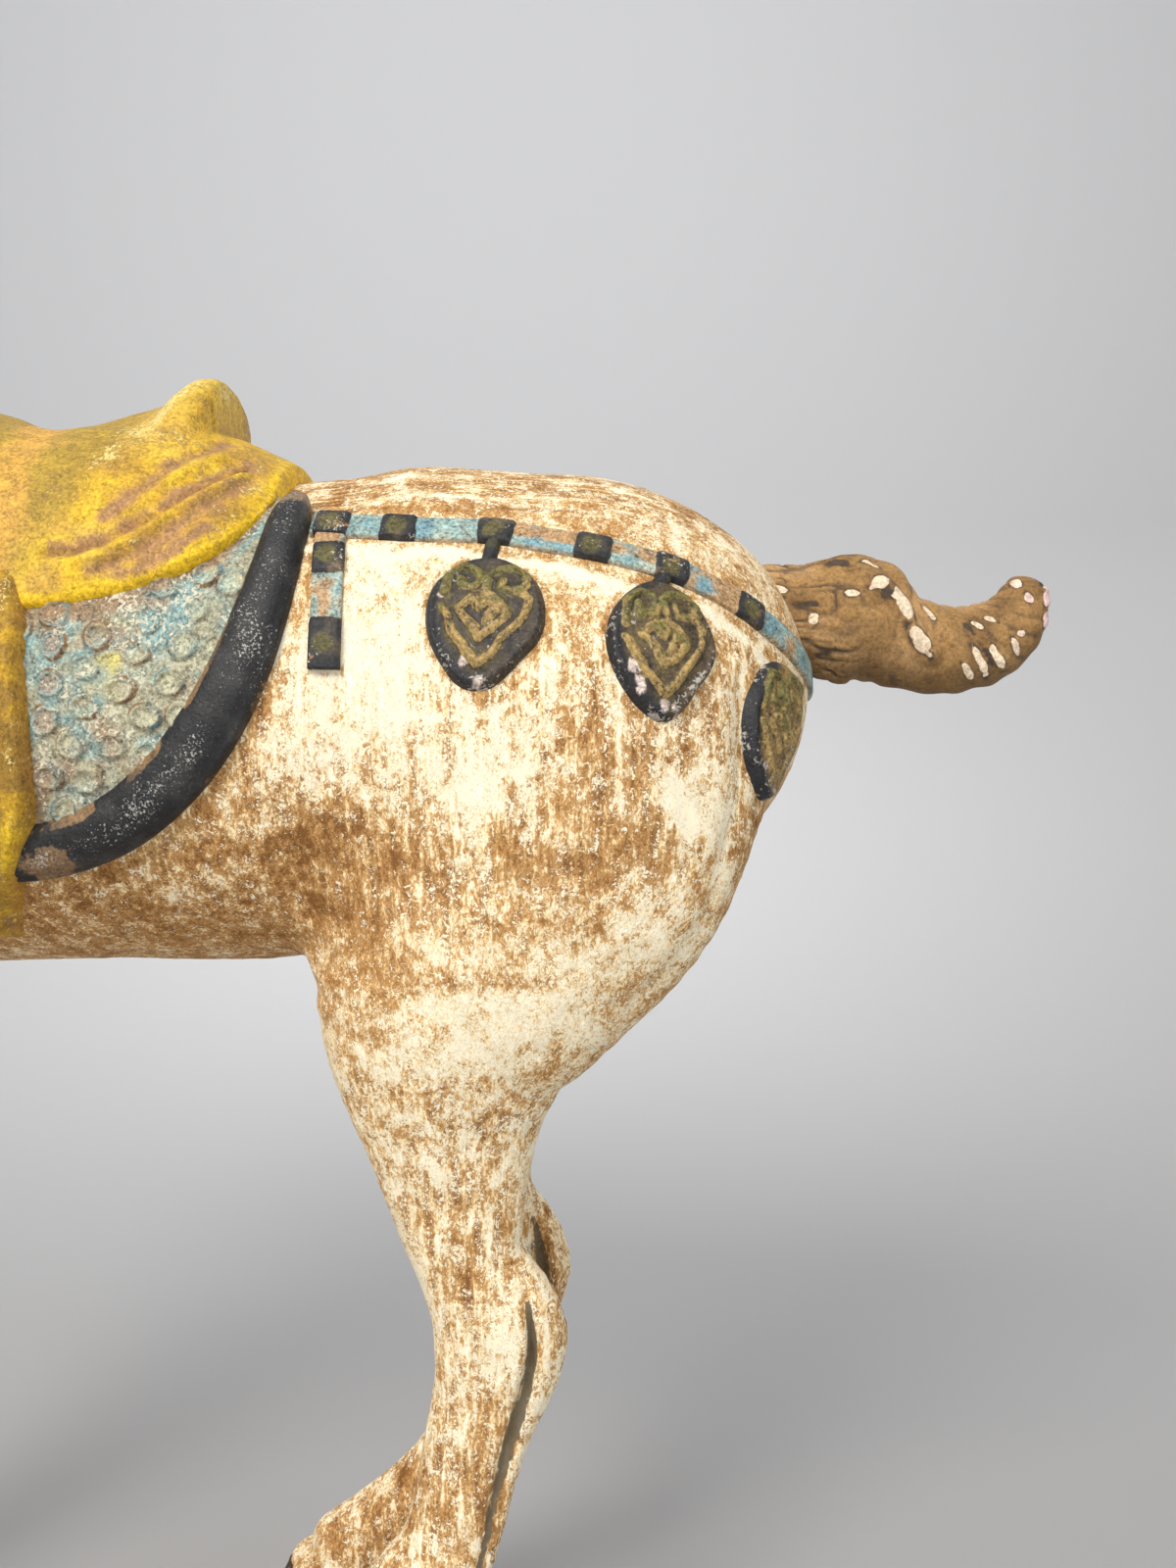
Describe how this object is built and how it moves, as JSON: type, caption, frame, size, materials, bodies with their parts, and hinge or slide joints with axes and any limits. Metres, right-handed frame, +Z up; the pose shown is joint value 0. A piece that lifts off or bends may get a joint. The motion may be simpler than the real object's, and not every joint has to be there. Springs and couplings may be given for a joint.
{
  "type": "horse figure",
  "caption": "Fired clay horse standing on a low plinth, with a draped saddle, rolled rug, strap harness with leaf pendants and a bound tail",
  "frame": {"origin": "middle of the plinth's underside, on the ground", "axes": "+Z up; the horse faces -X and its tail points to +X; its left side faces -Y; the horse is mirror-symmetric about the XZ plane"},
  "size_m": [0.7099, 0.1936, 0.741],
  "materials": {
    "painted_clay": "fired terracotta under a cream slip that is worn through in streaks, with matt yellow, pale blue, olive and black paint",
    "bare_clay": "bare fired terracotta, matt, with worn cream slip"
  },
  "bodies": {
    "root": {"horse": "painted_clay", "plinth": "bare_clay"}
  },
  "joints": []
}
